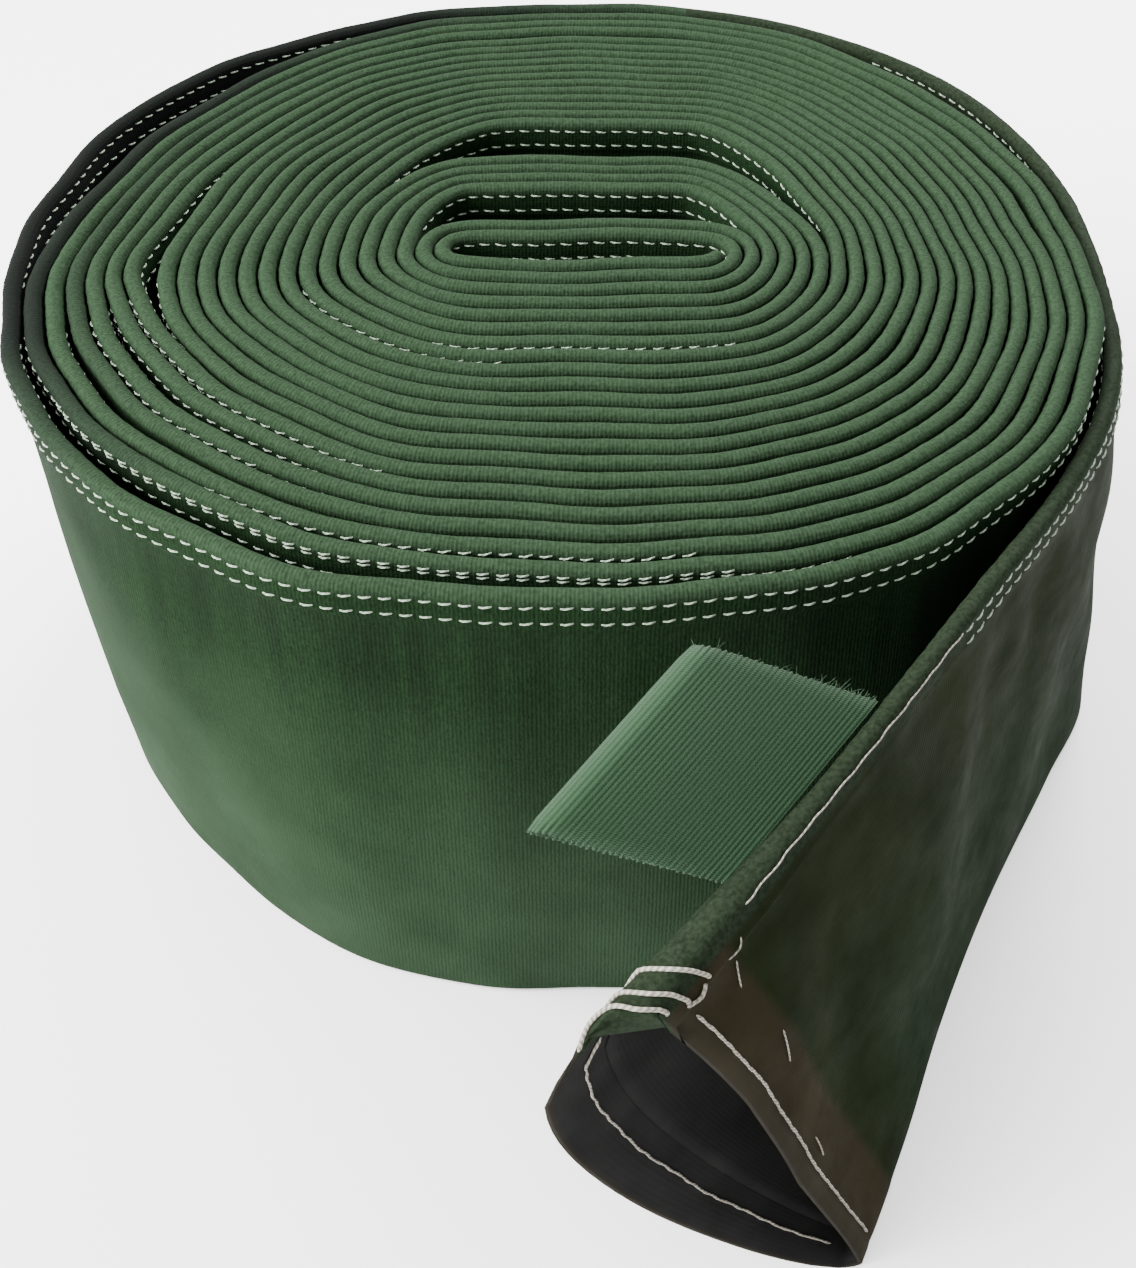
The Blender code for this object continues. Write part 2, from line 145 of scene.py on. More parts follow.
SWELL = 0.0022                  # height of the soft swells in the outermost wall
RIB_PITCH = 0.0013
FINE_STEPS = 24                 # points down one layer's wall on the free end
COIL_STEPS = 10                 # and on the coil
LINING_ROW = 4.7                # the lining is modelled from this row
LINING_BACK = 0.005             # and stops this far inside the rim
LINING_SKIN = 0.0006
TACK_RADIUS = 0.00055
LOOSE_RADII = (0.0005, 0.00022)  # the thread end at the tack, and the finer ones
LONE_STEP = 0.0025


# ---------------------------------------------------------------- the hose's route
def window(offset, half_width):
    """A smooth bump in degrees: 1 at no offset, 0 beyond the half width."""
    share = np.clip(np.abs(offset) / half_width, 0.0, 1.0)
    return 0.5 + 0.5 * np.cos(np.pi * share)


def support(turn):
    """Distance from the coil's centre to the hose's tangent line, in stitches."""
    angle = 2.0 * np.pi * turn
    reach = [base + rate * turn for base, rate in (REACH_RIGHT, REACH_LEFT, REACH_FRONT, REACH_BACK)]
    half_x = 0.5 * (reach[0] + reach[1])
    half_y = 0.5 * (reach[2] + reach[3])
    long_axis = (half_x - half_y) / (1.0 - FLATNESS)
    total = np.hypot(long_axis * np.cos(angle), FLATNESS * long_axis * np.sin(angle))
    total = total + half_x - long_axis
    total = total + 0.5 * (reach[0] - reach[1]) * np.cos(angle)
    total = total + 0.5 * (reach[2] - reach[3]) * np.sin(angle)
    for start, extra, half_width, easing in SLACKS:
        laps = np.maximum(0.0, np.round(turn - start))
        wider = 1.0 + easing * laps
        bump = window((turn - start - laps) * 360.0, half_width * wider) / np.sqrt(wider)
        total = total + np.where(turn > start - 0.5, extra * bump, 0.0)
    place = turn - DENT_TURN - np.round(turn - DENT_TURN)
    return total - DENT * turn * window(place * 360.0, DENT_HALF)


def coil_ground(turn):
    """Ground points and outward normals of the hose at turns of the coil."""
    step = 1e-4
    slope = (support(turn + step) - support(turn - step)) / (4.0 * np.pi * step)
    angle = 2.0 * np.pi * turn
    zero = np.zeros_like(angle)
    normal = np.stack((np.cos(angle), -np.sin(angle), zero), 1)
    along = np.stack((-np.sin(angle), -np.cos(angle), zero), 1)
    place = normal * support(turn)[:, None] + along * slope[:, None]
    return COIL_CENTRE + place * STITCH, normal


def unit(vectors):
    return vectors / np.linalg.norm(vectors, axis=-1, keepdims=True)


def tail_lead(row):
    """Seam and fold points where the free end still follows the coil and starts to lean."""
    ground, normal = coil_ground(TURNS + row * LEAD_TURN)
    kick = LEAD_KICK * np.maximum(0.0, 1.0 + row / LEAD_ROWS) ** 2
    seam = ground.copy()
    seam[:, 2] = np.sqrt(FLAT_WIDTH ** 2 - kick ** 2)
    return seam, ground + normal * kick[:, None]


def spline(points, place):
    """Catmull-Rom values through evenly numbered points."""
    last = len(points) - 1
    index = np.clip(place.astype(int), 0, last - 1)
    t = (place - index)[:, None]
    before = points[np.maximum(index - 1, 0)]
    start = points[index]
    end = points[index + 1]
    after = points[np.minimum(index + 2, last)]
    square = (2.0 * before - 5.0 * start + 4.0 * end - after) * t * t
    cube = (3.0 * start - before - 3.0 * end + after) * t ** 3
    return 0.5 * (2.0 * start + (end - before) * t + square + cube)


def tail_lines(row):
    """Seam and fold points at rows of the free end, the first row counted -2."""
    first = tail_lead(np.array([-1.0]))
    seams = [first[0][0]]
    folds = [first[1][0]]
    for seam, fold in TAIL_ROWS:
        seams.append(COIL_CENTRE + np.array(seam) * STITCH)
        folds.append(COIL_CENTRE + np.array((fold[0], fold[1], 0.0)) * STITCH)
    seam = spline(np.array(seams), row + 1.0)
    fold = spline(np.array(folds), row + 1.0)
    lead = row < 0.0
    if lead.any():
        seam[lead], fold[lead] = tail_lead(row[lead])
    return seam, fold


def drift(points, size):
    """Slow sideways wander of the turns. It depends on the place, so neighbours wander together."""
    x = points[:, 0]
    y = points[:, 1]
    away_x = np.sin(41.0 * x + 97.0 * y + 0.6) + 0.6 * np.sin(173.0 * y - 61.0 * x + 2.1)
    away_y = np.sin(89.0 * x - 37.0 * y + 1.9) + 0.6 * np.sin(157.0 * x + 71.0 * y + 4.0)
    return np.stack((away_x, away_y, np.zeros_like(x)), 1) * size


def ease(reach, table, centre):
    """Smooths the route where the free end leaves the coil: cloth has no kinks there."""
    width = 0.024 * np.exp(-((reach - centre) / 0.13) ** 6)
    total = np.zeros_like(table)
    for share in np.linspace(-1.0, 1.0, 9):
        place = reach + share * width
        total += np.stack([np.interp(place, reach, table[:, axis]) for axis in range(3)], -1)
    return total / 9.0


def make_route():
    """Distance, seam point, fold point and outward normal, densely along the whole hose."""
    turns = np.arange(FIRST_TURN, PEEL_TURN, 1.0 / 720.0)
    ground, coil_normal = coil_ground(turns)
    place = turns - FLARE_TURN - np.round(turns - FLARE_TURN)
    foot = FLARE * (turns / TURNS) ** FLARE_POWER * window(place * 360.0, FLARE_HALF)
    top = ground.copy()
    top[:, 2] = np.sqrt(FLAT_WIDTH ** 2 - foot ** 2)
    ground = ground + coil_normal * foot[:, None]
    rows = np.arange(-LEAD_ROWS, MOUTH_ROW + 0.001, 0.01)
    seam, fold = tail_lines(rows)
    along = np.gradient(seam + fold, axis=0)
    tail_normal = unit(np.cross(seam - fold, along))
    seams = np.concatenate((top, seam))
    folds = np.concatenate((ground, fold))
    normals = np.concatenate((coil_normal, tail_normal))
    calm = np.concatenate((np.ones(len(turns)), np.clip(-rows / LEAD_ROWS, 0.0, 1.0)))[:, None]
    seams = seams + drift(seams, 0.00055) * calm
    folds = folds + drift(folds + 0.03, 0.0004) * calm
    middle = 0.5 * (seams + folds)
    steps = np.linalg.norm(np.diff(middle, axis=0), axis=1)
    reach = np.concatenate(((0.0,), np.cumsum(steps)))
    marks = np.concatenate((turns, rows))
    middle_row = reach[len(turns) + int(np.argmin(np.abs(rows + 0.9)))]
    seams, folds, normals = (ease(reach, table, middle_row) for table in (seams, folds, normals))
    return reach, seams, folds, normals, marks, len(turns)


REACH, SEAMS, FOLDS, NORMALS, MARKS, WOUND = make_route()
HOSE_LENGTH = float(REACH[-1])


def room_between(outward):
    """Distance from each station's centre line to its neighbour turn's, on one side."""
    turns = np.where(np.arange(len(REACH)) < WOUND, MARKS, PEEL_TURN)
    step = 1.0 if outward else -1.0
    room = np.abs(support(turns + step) - support(turns)) * STITCH
    free = turns > PEEL_TURN - 1.0 + 0.12 if outward else turns < FIRST_TURN + 1.0
    room[free] = FREE_ROOM
    room[WOUND:] = FREE_ROOM
    return room


ROOM = {1: room_between(True), -1: room_between(False)}
RIDGE = {side: np.clip(0.5 * ROOM[side] - RIDGE_GAP, *RIDGE_RANGE) for side in ROOM}


def at_turn(turn):
    """Distance along the hose at a turn of the coil."""
    return float(np.interp(turn, MARKS[:WOUND], REACH[:WOUND]))


def at_row(row):
    """Distance along the hose at a row of the free end."""
    return float(np.interp(row, MARKS[WOUND:], REACH[WOUND:]))


LOOSE_FROM = at_turn(20.95)
TAIL_FROM = at_row(-0.5)
SWELL_FROM = at_turn(21.02)
SWELL_TO = at_turn(21.72)
LONE_FROM = at_row(3.2)
LINING_FROM = at_row(LINING_ROW)


def lookup(table, reach):
    return np.stack([np.interp(reach, REACH, table[:, axis]) for axis in range(3)], -1)


def row_at(reach):
    """Row of the free end at a distance, or -2 on the coil."""
    return np.interp(reach, REACH[WOUND:], MARKS[WOUND:], left=-LEAD_ROWS)


# ---------------------------------------------------------------- surface of the hose
def half_at(reach, depth, sign):
    """Half thickness of the pressed hose: rounded top, sewn ridge, thin wall, rounded fold."""
    ridge = np.where(sign > 0, np.interp(reach, REACH, RIDGE[1]), np.interp(reach, REACH, RIDGE[-1]))
    top = np.sqrt(np.clip(1.0 - (1.0 - depth / CAP_DEPTH) ** 2, 0.0, 1.0))
    cap = np.where(depth < CAP_DEPTH, top, 1.0)
    fade = np.clip((depth - RIDGE_DEPTH + 0.0015) / 0.003, 0.0, 1.0)
    fade = fade * fade * (3.0 - 2.0 * fade)
    half = (ridge + (WALL_HALF - ridge) * fade) * cap
    groove = sum(np.exp(-((depth - drop) / 0.0011) ** 2) for drop in DROPS)
    half = half - 0.00028 * groove
    low = np.clip((FLAT_WIDTH - depth) / FOLD_ROUND, 0.0, 1.0)
    return half * np.sqrt(np.clip(1.0 - (1.0 - low) ** 2, 0.02, 1.0))


def pucker(reach, depth):
    """The stitches draw the canvas in at each hole, and the ridge is a little uneven."""
    beat = np.cos(2.0 * np.pi * reach / STITCH)
    near = sum(np.exp(-((depth - drop) / 0.0022) ** 2) for drop in DROPS)
    uneven = np.sin(reach * 311.0 + 2.0 * np.sin(reach * 97.0)) + np.sin(reach * 533.0 + 1.0)
    edge = np.exp(-(depth / 0.008) ** 2)
    return -0.00010 * beat * near + 0.00005 * uneven * edge


def bow(height):
    """How a layer bows between the fold and the seam: most of it nearer the seam."""
    return np.sin(np.pi * np.clip(height, 0.0, 1.0) ** BOW_SKEW) ** BOW_POWER


def skin(reach, depth, sign, inset=0.0, lift=0.0):
    """Points of the hose's surface.

    reach is the distance along the hose, depth the distance below the seam, sign the side
    (1 is the outer one), inset how far under the surface, lift how far above it.
    """
    spread = np.broadcast_arrays(reach, depth, sign, inset, lift)
    shape = spread[0].shape
    reach, depth, sign, inset, lift = (values.ravel() for values in spread)
    seam = lookup(SEAMS, reach)
    fold = lookup(FOLDS, reach)
    normal = unit(lookup(NORMALS, reach))
    row = row_at(reach)
    open_share = (np.maximum(0.0, row - OPEN_ROW) / (MOUTH_ROW - OPEN_ROW)) ** OPEN_POWER
    level = 1.0 - depth / FLAT_WIDTH
    amount = np.where(sign > 0, MOUTH_RIGHT, MOUTH_LEFT)
    half = half_at(reach, depth, sign) + pucker(reach, depth) + hem_rise(reach, depth)
    half = half + np.where(sign > 0, swell(reach, depth), 0.0)
    out = np.maximum(amount * open_share * bow(level) + half - inset, 0.0001) + lift
    side = unit(normal + (MOUTH_SIDE - normal) * open_share[:, None])
    place = fold + (seam - fold) * level[:, None] + side * (sign * out)[:, None]
    place = place + normal * (wave(reach, depth) * soften(depth))[:, None]
    place[:, 2] = np.maximum(place[:, 2], 0.0)
    return place.reshape(*shape, 3)


def swell(reach, depth):
    """Broad soft swells of the outermost layer, slanting down the wall; they only reach outwards."""
    slant = np.sin(62.0 * reach + 34.0 * depth + 0.8) + 0.6 * np.sin(37.0 * reach - 52.0 * depth + 2.4)
    size = SWELL * (0.5 + slant / 3.2)
    along = np.clip((reach - SWELL_FROM) / 0.05, 0.0, 1.0) * np.clip((SWELL_TO - reach) / 0.05, 0.0, 1.0)
    down = np.clip((depth - 0.020) / 0.030, 0.0, 1.0) * np.clip((0.158 - depth) / 0.030, 0.0, 1.0)
    return size * along * down


def hem_rise(reach, depth):
    """The turned-in hem is thicker, and its stitches draw it in."""
    back = HOSE_LENGTH - reach
    rise = 0.5 + 0.5 * np.tanh((HEM_FOLD - back) / 0.0015)
    dent = np.exp(-((back - HEM) / 0.0016) ** 2)
    return (0.0003 * rise - 0.0003 * dent) * np.clip(depth / 0.02, 0.0, 1.0)


def set_back(reach, depth, sign):
    """The seam's end and the outer layer beside it stop short of the inner layer's rim."""
    near = np.clip((reach - HOSE_LENGTH + 0.05) / 0.05, 0.0, 1.0)
    ridge = RIM_BACK * np.clip((0.022 - depth) / 0.018, 0.0, 1.0)
    outer = RIM_OUTER * np.clip((0.100 - depth) / 0.045, 0.0, 1.0)
    return reach - np.where(sign > 0, outer, ridge) * near * near


def soften(depth):
    """Waves are free in the middle of the wall, and held at the seam and on the ground."""
    level = np.clip(depth / FLAT_WIDTH, 0.0, 1.0)
    return np.sin(np.pi * level) ** 0.8


def wave(reach, depth):
    """Soft waves of the wall where it is free to move: the outermost turn and the free end."""
    free = np.clip((reach - LOOSE_FROM) / 0.10, 0.0, 1.0)
    tail = np.clip((reach - TAIL_FROM) / 0.06, 0.0, 1.0)
    slow = np.sin(reach * 37.0 + depth * 22.0) + 0.7 * np.sin(reach * 71.0 - depth * 41.0 + 1.0)
    quick = np.sin(reach * 120.0 + depth * 90.0 + 2.0 * np.sin(reach * 31.0))
    high = np.exp(-((depth - 0.03) / 0.028) ** 2)
    pulls = np.sin(reach * 165.0 - depth * 30.0 + 1.5 * np.sin(reach * 43.0)) * high
    return free * 0.00035 * slow + tail * (0.0012 * slow + 0.0005 * quick + 0.0007 * pulls)


# ---------------------------------------------------------------- mesh building
def mesh_object(name, points, faces, uv):
    mesh = bpy.data.meshes.new(name)
    mesh.from_pydata(points.tolist(), [], faces.tolist())
    layer = mesh.uv_layers.new(name="cloth")
    layer.data.foreach_set("uv", uv.astype(np.float32).ravel())
    mesh.shade_smooth()
    obj = bpy.data.objects.new(name, mesh)
    bpy.context.scene.collection.objects.link(obj)
    return obj


def loft(name, rings, across, lengths, ends="capped"):
    """A body through rings of points. across and lengths are the cloth coordinates in metres."""
    count, size = rings.shape[:2]
    ring = np.arange(count - 1)[:, None] * size
    column = np.arange(size)
    after = (column + 1) % size
    quads = np.stack((ring + column, ring + after, ring + size + after, ring + size + column), -1)
    quads = quads.reshape(-1, 4)
    points = rings.reshape(-1, 3)
    if ends == "joined":
        last = (count - 1) * size
        quads = np.concatenate((quads, np.stack((last + column, last + after, after, column), -1)))
        lengths = np.append(lengths, lengths[-1] + 0.001)
    wrapped = np.append(across, across[-1] + abs(across[1] - across[0]))
    u = np.stack((lengths[:-1], lengths[:-1], lengths[1:], lengths[1:]), -1)
    v = np.stack((wrapped[:-1], wrapped[1:], wrapped[1:], wrapped[:-1]), -1)
    uv = np.stack(np.broadcast_arrays(u[:, None, :], v[None, :, :]), -1)
    corner = points[quads]
    volume = np.einsum("ij,ij->", corner[:, 0], np.cross(corner[:, 1], corner[:, 2]))
    volume += np.einsum("ij,ij->", corner[:, 0], np.cross(corner[:, 2], corner[:, 3]))
    if volume < 0.0:
        quads = quads[:, ::-1]
        uv = uv[:, :, ::-1]
    obj = mesh_object(name, points, quads, uv.reshape(-1, 2))
    if ends == "capped":
        cap_ends(obj, size, count, volume < 0.0)
    return obj


def cap_ends(obj, size, count, flipped):
    """Closes both ends of a loft with a strip of quads across the ring."""
    shape = bmesh.new()
    shape.from_mesh(obj.data)
    shape.verts.ensure_lookup_table()
    for start, turn in ((0, not flipped), ((count - 1) * size, flipped)):
        for step in range(size // 2 - 1):
            ring = [start + step, start + step + 1, start + size - 2 - step, start + size - 1 - step]
            if turn:
                ring.reverse()
            corners = [shape.verts[number] for number in dict.fromkeys(ring)]
            if len(corners) > 2:
                shape.faces.new(corners).smooth = False
    shape.to_mesh(obj.data)
    shape.free()


def section(wall_steps):
    """Depths round the pressed hose, from the fold up the outer side and down the inner one."""
    cap = CAP_DEPTH * (1.0 - np.cos(np.linspace(0.0, 0.5 * np.pi, 6)))
    ridge = np.array(RIDGE_STEPS)
    wall = ridge[-1] + (FLAT_WIDTH - ridge[-1] - FOLD_ROUND) * np.linspace(0.0, 1.0, wall_steps)[1:]
    low = np.array((FLAT_WIDTH - 0.0007, FLAT_WIDTH))
    depth = np.concatenate((cap, ridge, wall, low))
    ring = np.concatenate((depth[::-1], depth[1:]))
    sign = np.concatenate((np.ones(len(depth)), -np.ones(len(depth) - 1)))
    return ring, sign


def strip(name, start, end, wall_steps):
    """A run of the pressed hose between two distances."""
    first = round(start / CELL)
    last = round(end / CELL)
    reach = np.arange(first, last + 1) * CELL
    reach = np.insert(reach, (1, len(reach) - 1), (reach[0] + EDGE_STEP, reach[-1] - EDGE_STEP))
    depth, sign = section(wall_steps)
    rings = skin(reach[:, None], depth[None, :], sign[None, :])
    return loft(name, rings, np.where(sign > 0, depth, -depth) + FLAT_WIDTH, reach)


# ---------------------------------------------------------------- thread
def tubes(name, paths, radii, sides=6):
    """Many short threads in one mesh. paths is (threads, points, 3), radii (points,)."""
    threads, knots = paths.shape[:2]
    along = unit(np.gradient(paths, axis=1))
    upward = np.array((0.0, 0.0, 1.0))
    first = unit(upward - along * np.sum(upward * along, -1, keepdims=True))
    second = np.cross(along, first)
    angle = np.arange(sides) * 2.0 * np.pi / sides
    wide = radii[..., None, None]
    round_part = first[..., None, :] * np.cos(angle)[:, None] + second[..., None, :] * np.sin(angle)[:, None]
    points = (paths[..., None, :] + round_part * wide).reshape(-1, 3)
    ring = np.arange(knots - 1)[None, :, None] * sides
    base = np.arange(threads)[:, None, None] * knots * sides + ring
    column = np.arange(sides)
    after = (column + 1) % sides
    quads = np.stack((base + column, base + column + sides, base + after + sides, base + after), -1)
    length = np.cumsum(np.linalg.norm(np.diff(paths, axis=1), axis=-1), axis=1)
    length = np.concatenate((np.zeros((threads, 1)), length), 1)
    u = np.stack((length[:, :-1], length[:, 1:], length[:, 1:], length[:, :-1]), -1)
    turn = np.arange(sides + 1) * 0.0035 / sides
    v = np.stack((turn[:-1], turn[:-1], turn[1:], turn[1:]), -1)
    uv = np.stack(np.broadcast_arrays(u[:, :, None, :], v[None, None, :, :]), -1)
    return mesh_object(name, points, quads.reshape(-1, 4), uv.reshape(-1, 2))


def clear_room(side):
    """Clear gap between a turn's ridge and its neighbour's: stitches show only where there is one."""
    return ROOM[side] - 2.0 * RIDGE[side]


CLEAR = {1.0: clear_room(1), -1.0: clear_room(-1)}
# (first turn, last turn, side): the turns look closed here, no stitches show
CLOSED = (
    (18.75, 19.30, -1.0),
    (19.70, 21.00, -1.0),
    (21.68, 22.00, -1.0),
    (17.70, 18.95, 1.0),
    (18.70, 19.90, 1.0),
    (20.76, 21.00, 1.0),
)
# (first turn, last turn): a row of stitches lies high on the ridge's shoulder here
SHOULDER_ROWS = ((6.20, 6.30), (7.26, 7.42), (15.30, 15.44), (17.33, 17.44), (19.24, 19.34), (20.23, 20.40))
for low_turn, high_turn, side in CLOSED:
    between = (MARKS > low_turn) & (MARKS < high_turn) & (np.arange(len(MARKS)) < WOUND)
    CLEAR[side][between] = 0.0


def stitch_row(start, end, drop, sign, length=0.0039, clear=0.0007):
    """Lockstitches between two distances: each a short thread that dips in at both ends."""
    first = math.ceil(start / STITCH - 0.5)
    last = math.floor(end / STITCH - 0.5)
    number = np.arange(first, last + 1)
    middle = (number + 0.5) * STITCH
    middle = middle[np.interp(middle, REACH, CLEAR[sign]) > clear]
    jitter = np.sin(middle * 917.0) * np.sin(middle * 331.0)
    share = np.array((-0.5, -0.36, -0.12, 0.12, 0.36, 0.5))
    rise = np.array((-0.0007, 0.00008, 0.00026, 0.00026, 0.00008, -0.0007))
    reach = middle[:, None] + share * length * (1.0 + 0.08 * jitter[:, None])
    slant = share * 2.0 * STITCH_SLANT
    depth = drop + slant * (1.0 + 0.8 * jitter[:, None]) + 0.00012 * jitter[:, None]
    return skin(reach, depth, sign, 0.0, rise - 0.0001)


def seam_rows(start, end):
    """The seam's two rows of lockstitch on both layers."""
    return [stitch_row(start, end, drop, sign) for drop in DROPS for sign in (1.0, -1.0)]


def stitches(name, rows, radius=0.00028):
    """One object with the stitches of several rows."""
    paths = np.concatenate(rows)
    radii = radius * np.array((0.75, 0.95, 1.0, 1.0, 0.95, 0.75))
    return tubes(name, paths, radii)


# ---------------------------------------------------------------- materials
def add(tree, kind, inputs=(), **settings):
    """A node with its settings and inputs: an input is a value or another node's socket."""
    made = tree.nodes.new(kind)
    for name, value in settings.items():
        setattr(made, name, value)
    for key, value in dict(inputs).items():
        if isinstance(value, bpy.types.NodeSocket):
            tree.links.new(value, made.inputs[key])
        else:
            made.inputs[key].default_value = value
    return made


def mix(tree, factor, first, second):
    inputs = {0: factor, 6: first, 7: second}
    return add(tree, "ShaderNodeMix", inputs, data_type="RGBA").outputs[2]


def math_node(tree, kind, first, second=0.0):
    return add(tree, "ShaderNodeMath", {0: first, 1: second}, operation=kind).outputs[0]


def times(tree, first, second):
    return math_node(tree, "MULTIPLY", first, second)


def plus(tree, first, second):
    return math_node(tree, "ADD", first, second)


def weighted(tree, *terms):
    """The sum of values, each times its weight."""
    total = times(tree, *terms[0])
    for value, weight in terms[1:]:
        total = plus(tree, total, times(tree, value, weight))
    return total


def ramp(tree, value, low, high, to_low=0.0, to_high=1.0):
    node = add(tree, "ShaderNodeMapRange", {"Value": value, 1: low, 2: high, 3: to_low, 4: to_high})
    return node.outputs[0]


def start_material(name, roughness, specular, sheen=0.0):
    mat = bpy.data.materials.new(name)
    mat.use_nodes = True
    shader = mat.node_tree.nodes["Principled BSDF"]
    shader.inputs["Roughness"].default_value = roughness
    shader.inputs["Specular IOR Level"].default_value = specular
    shader.inputs["Sheen Weight"].default_value = sheen
    shader.inputs["Sheen Roughness"].default_value = 0.5
    return mat, mat.node_tree, shader


def waves(tree, vector, pitch, direction, distortion=0.0):
    scale = 0.314159 / pitch
    inputs = {"Vector": vector, "Scale": scale, "Distortion": distortion, "Detail": 1.0, "Detail Scale": 2.0}
    return add(tree, "ShaderNodeTexWave", inputs, bands_direction=direction).outputs["Fac"]


def noise(tree, vector, size, detail, rough=0.6):
    inputs = {"Vector": vector, "Scale": 1.0 / size, "Detail": detail, "Roughness": rough}
    return add(tree, "ShaderNodeTexNoise", inputs).outputs["Fac"]


def cloth_places(tree):
    """The place on the object, and the cloth's own coordinates."""
    place = add(tree, "ShaderNodeTexCoord").outputs["Object"]
    cloth = add(tree, "ShaderNodeUVMap", uv_map="cloth").outputs["UV"]
    return place, cloth


def along_and_depth(tree, cloth):
    """Distance along the hose, and depth below the seam on either layer."""
    parts = add(tree, "ShaderNodeSeparateXYZ", {0: cloth})
    depth = math_node(tree, "ABSOLUTE", math_node(tree, "SUBTRACT", parts.outputs[1], FLAT_WIDTH))
    return parts.outputs[0], depth


def surface(tree, shader, colour, height, strength, distance):
    """Connects a material's colour and its fine relief."""
    tree.links.new(colour, shader.inputs["Base Color"])
    bump = add(tree, "ShaderNodeBump", {"Height": height, "Strength": strength, "Distance": distance})
    tree.links.new(bump.outputs[0], shader.inputs["Normal"])


def canvas_material(name, dark, light, dust_and_painted_light, gloss, weave_depth):
    """Plain-woven canvas: warp and weft from the cloth's own coordinates, uneven dye, wear, painted light and
    painted shade.
    """
    mat, tree, shader = start_material(name, gloss, 0.03)
    place, cloth = cloth_places(tree)
    along, depth = along_and_depth(tree, cloth)
    warp = waves(tree, cloth, 0.0011, "X", 1.6)
    weft = waves(tree, cloth, 0.0010, "Y", 0.8)
    grain = noise(tree, place, 0.0011, 2.0)
    weave = weighted(tree, (warp, 0.42), (weft, 0.24), (grain, 0.34))
    cloud = noise(tree, place, 0.035, 4.0)
    tone = weighted(tree, (grain, 0.7), (cloud, 0.3))
    colour = mix(tree, ramp(tree, tone, 0.30, 0.70), dark, light)
    # the seam's top is lighter: partly rubbed wear, partly painted light falling on the top
    rubbed_and_lit_top = times(tree, ramp(tree, depth, 0.0040, 0.0004, 0.0, 0.85), ramp(tree, grain, 0.2, 0.7, 0.35, 1.0))
    colour = mix(tree, rubbed_and_lit_top, colour, dust_and_painted_light)
    # painted shade: soft darker streaks down the wall below the seam, where the canvas puckers
    long_way = add(tree, "ShaderNodeMapping", {"Vector": cloth, "Scale": (150.0, 9.0, 1.0)})
    pulled = noise(tree, long_way.outputs[0], 1.0, 2.0)
    near_seam = times(tree, ramp(tree, depth, 0.010, 0.016), ramp(tree, depth, 0.085, 0.03))
    shade = times(tree, near_seam, ramp(tree, pulled, 0.35, 0.6, 0.28, 0.0))
    colour = mix(tree, shade, colour, PAINTED_PUCKER_SHADE)
    for start, full, leave, gone, share in GREYED:
        band = times(tree, ramp(tree, along, start, full), ramp(tree, along, gone, leave))
        on_ridge = times(tree, band, ramp(tree, depth, 0.016, 0.011, 0.0, share))
        colour = mix(tree, on_ridge, colour, GREY)
    # painted light: the wall is lighter towards the ground, where light comes back off the floor
    painted_floor_bounce = times(tree, ramp(tree, depth, 0.03, 0.13, 0.0, 0.62), ramp(tree, cloud, 0.3, 0.7, 0.5, 1.0))
    colour = mix(tree, painted_floor_bounce, colour, dust_and_painted_light)
    colour = mix(tree, ramp(tree, weave, 0.20, 0.6, 0.12, 0.0), colour, BLACK)
    height = plus(tree, weave, times(tree, grain, 0.8))
    surface(tree, shader, colour, height, 0.6, weave_depth)
    return mat


def coated_material(name, dark, light, roughness, specular, bands=(), ridge=None):
    """Smooth coated cloth: faint weave, blotches, rub streaks and small creases.

    bands are (start, end, dark, light): other shades along the hose. ridge shades the seam; with it the lower
    wall also gets a stronger green and painted light off the floor.
    """
    mat, tree, shader = start_material(name, roughness, specular)
    place, cloth = cloth_places(tree)
    along, depth = along_and_depth(tree, cloth)
    cloud = noise(tree, place, 0.03, 5.0, 0.55)
    turned = {"Vector": place, "Rotation": (0.4, 0.9, 0.3), "Scale": (8.0, 60.0, 60.0)}
    streak = noise(tree, add(tree, "ShaderNodeMapping", turned).outputs[0], 1.0, 5.0, 0.7)
    tone = weighted(tree, (cloud, 0.65), (streak, 0.35))
    share = ramp(tree, tone, 0.30, 0.75)
    colour = mix(tree, share, dark, light)
    for start, end, band_dark, band_light in bands:
        shade = mix(tree, share, band_dark, band_light)
        colour = mix(tree, ramp(tree, along, start, end), colour, shade)
    if ridge is not None:
        low = times(tree, ramp(tree, depth, 0.05, 0.13), ramp(tree, along, GREEN_LOW[1], GREEN_LOW[0]))
        colour = mix(tree, times(tree, low, 0.8), colour, mix(tree, share, *LOW_GREEN))
        # painted light off the floor low on the wall, as on the wound canvas, fading out along the free end
        leaving = ramp(tree, along, at_turn(CUT_TURN), at_row(-0.8), 1.0, 0.0)
        painted_floor_bounce = times(tree, ramp(tree, depth, 0.03, 0.13, 0.0, 0.47), leaving)
        colour = mix(tree, painted_floor_bounce, colour, DUST_AND_PAINTED_LIGHT)
        grain = noise(tree, place, 0.0011, 2.0)
        top = mix(tree, ramp(tree, grain, 0.3, 0.7), *ridge)
        colour = mix(tree, ramp(tree, depth, 0.0065, 0.0045), colour, top)
    rough = ramp(tree, streak, 0.3, 0.7, roughness + 0.12, roughness - 0.1)
    tree.links.new(rough, shader.inputs["Roughness"])
    warp = waves(tree, cloth, 0.00085, "X", 0.5)
    weft = waves(tree, cloth, 0.00075, "Y", 0.5)
    height = plus(tree, times(tree, plus(tree, warp, weft), 0.12), streak)
    surface(tree, shader, colour, height, 0.22, 0.0008)
    return mat


def thread_material(name, dark, light):
    """Twisted thread: the plies run slantwise round it."""
    mat, tree, shader = start_material(name, 0.75, 0.1)
    place, cloth = cloth_places(tree)
    ply = waves(tree, cloth, 0.0008, "DIAGONAL")
    tone = weighted(tree, (ply, 0.5), (noise(tree, place, 0.004, 3.0), 0.6))
    colour = mix(tree, ramp(tree, tone, 0.25, 0.8), dark, light)
    surface(tree, shader, colour, ply, 0.6, 0.0002)
    return mat


